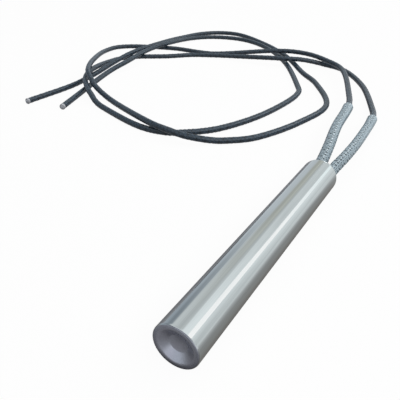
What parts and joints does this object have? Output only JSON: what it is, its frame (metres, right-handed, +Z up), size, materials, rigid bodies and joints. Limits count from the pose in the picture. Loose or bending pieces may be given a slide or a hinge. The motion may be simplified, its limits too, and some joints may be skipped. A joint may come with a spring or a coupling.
{
  "type": "cartridge heater",
  "caption": "Round metal cartridge heater with a dished welded closed end and braided leads in braided sleeves, for heating a bored die, mould or platen.",
  "frame": {"origin": "on the floor under the middle of the sheath, as it lies on its side", "axes": "+Y along the sheath from the closed end to the mouth, +Z up from the floor, +X to the side of the second lead"},
  "size_m": [0.1857, 0.2783, 0.012],
  "materials": {
    "sheath": "polished stainless steel with fine lengthwise drawing marks",
    "end_disc": "dull welded stainless steel, faintly violet from the weld",
    "magnesia": "matt compacted magnesia",
    "resistance_wire": "oxidised nickel-chrome wire",
    "nickel": "satin nickel",
    "cement": "rough pale cement",
    "strands": "bare stranded nickel",
    "sleeve_braid": "light blue-grey braided glass fibre",
    "lead_braid": "dark charcoal varnished glass-fibre braid, semi-gloss"
  },
  "bodies": {
    "root": {"sheath": "sheath", "end_disc": "end_disc", "tip_insulator": "magnesia", "core_1": "magnesia", "core_2": "magnesia", "core_3": "magnesia", "resistance_coil": "resistance_wire", "magnesia_fill": "magnesia", "pin_1": "nickel", "pin_2": "nickel", "cap_insulator": "magnesia", "crimp_1": "nickel", "crimp_2": "nickel", "end_seal": "cement", "conductor_1": "strands", "conductor_2": "strands", "sleeve_1": "sleeve_braid", "sleeve_2": "sleeve_braid", "lead_1": "lead_braid", "lead_2": "lead_braid", "conductor_end_1": "strands", "conductor_end_2": "strands"}
  },
  "joints": []
}
